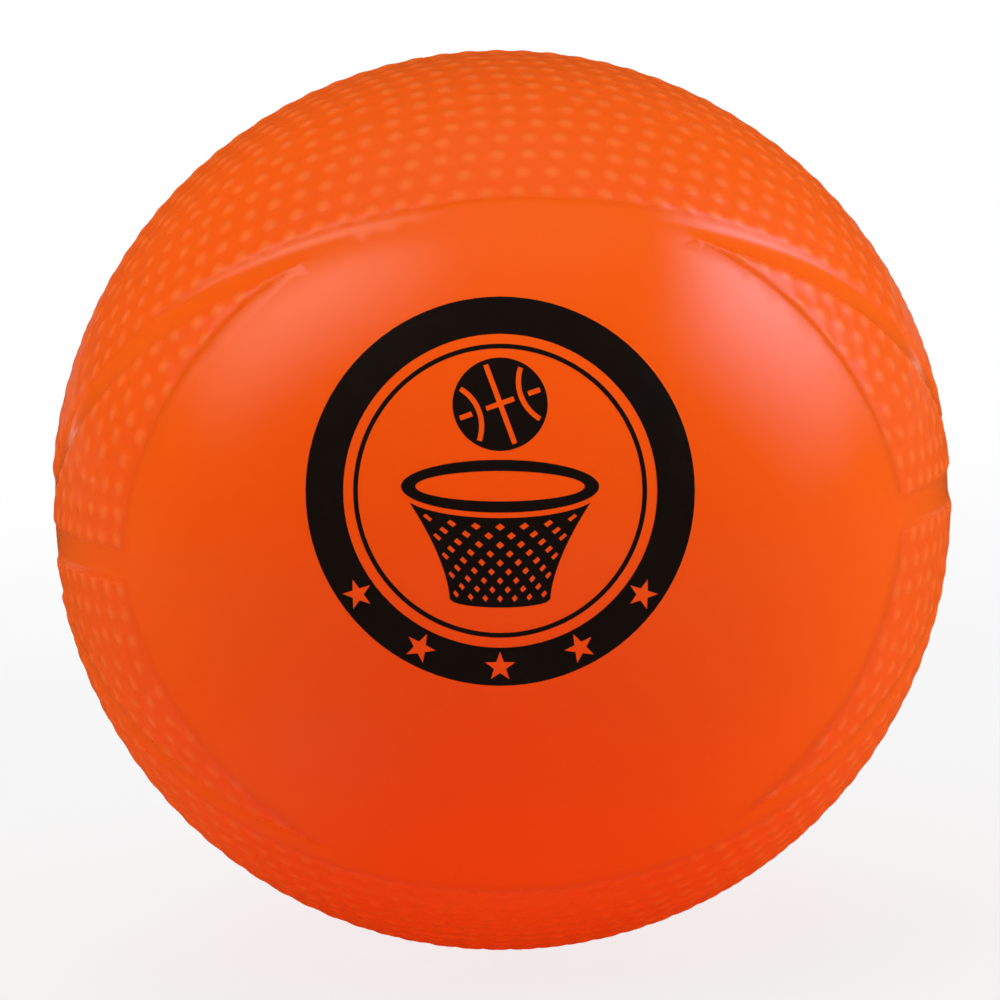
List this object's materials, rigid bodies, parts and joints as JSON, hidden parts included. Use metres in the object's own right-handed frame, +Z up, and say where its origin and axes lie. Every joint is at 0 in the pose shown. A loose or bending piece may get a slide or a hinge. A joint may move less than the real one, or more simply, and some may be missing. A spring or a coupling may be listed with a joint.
{
  "type": "mini basketball",
  "caption": "Small hollow vinyl basketball with pebbled panels, smooth seam channels, a smooth oval decorating panel and a needle valve.",
  "frame": {"origin": "centre of the ball", "axes": "+X through the pole with the needle valve, -Y through the middle of the smooth oval panel, +Z up as in the picture"},
  "size_m": [0.1005, 0.1011, 0.1016],
  "materials": {
    "vinyl_skin": "soft satin-gloss vinyl, orange",
    "vinyl_bush": "soft vinyl, a little darker orange",
    "rubber_plug": "matt black rubber"
  },
  "bodies": {
    "root": {"shell": "vinyl_skin", "valve_housing": "vinyl_bush", "valve_plug": "rubber_plug"}
  },
  "joints": []
}
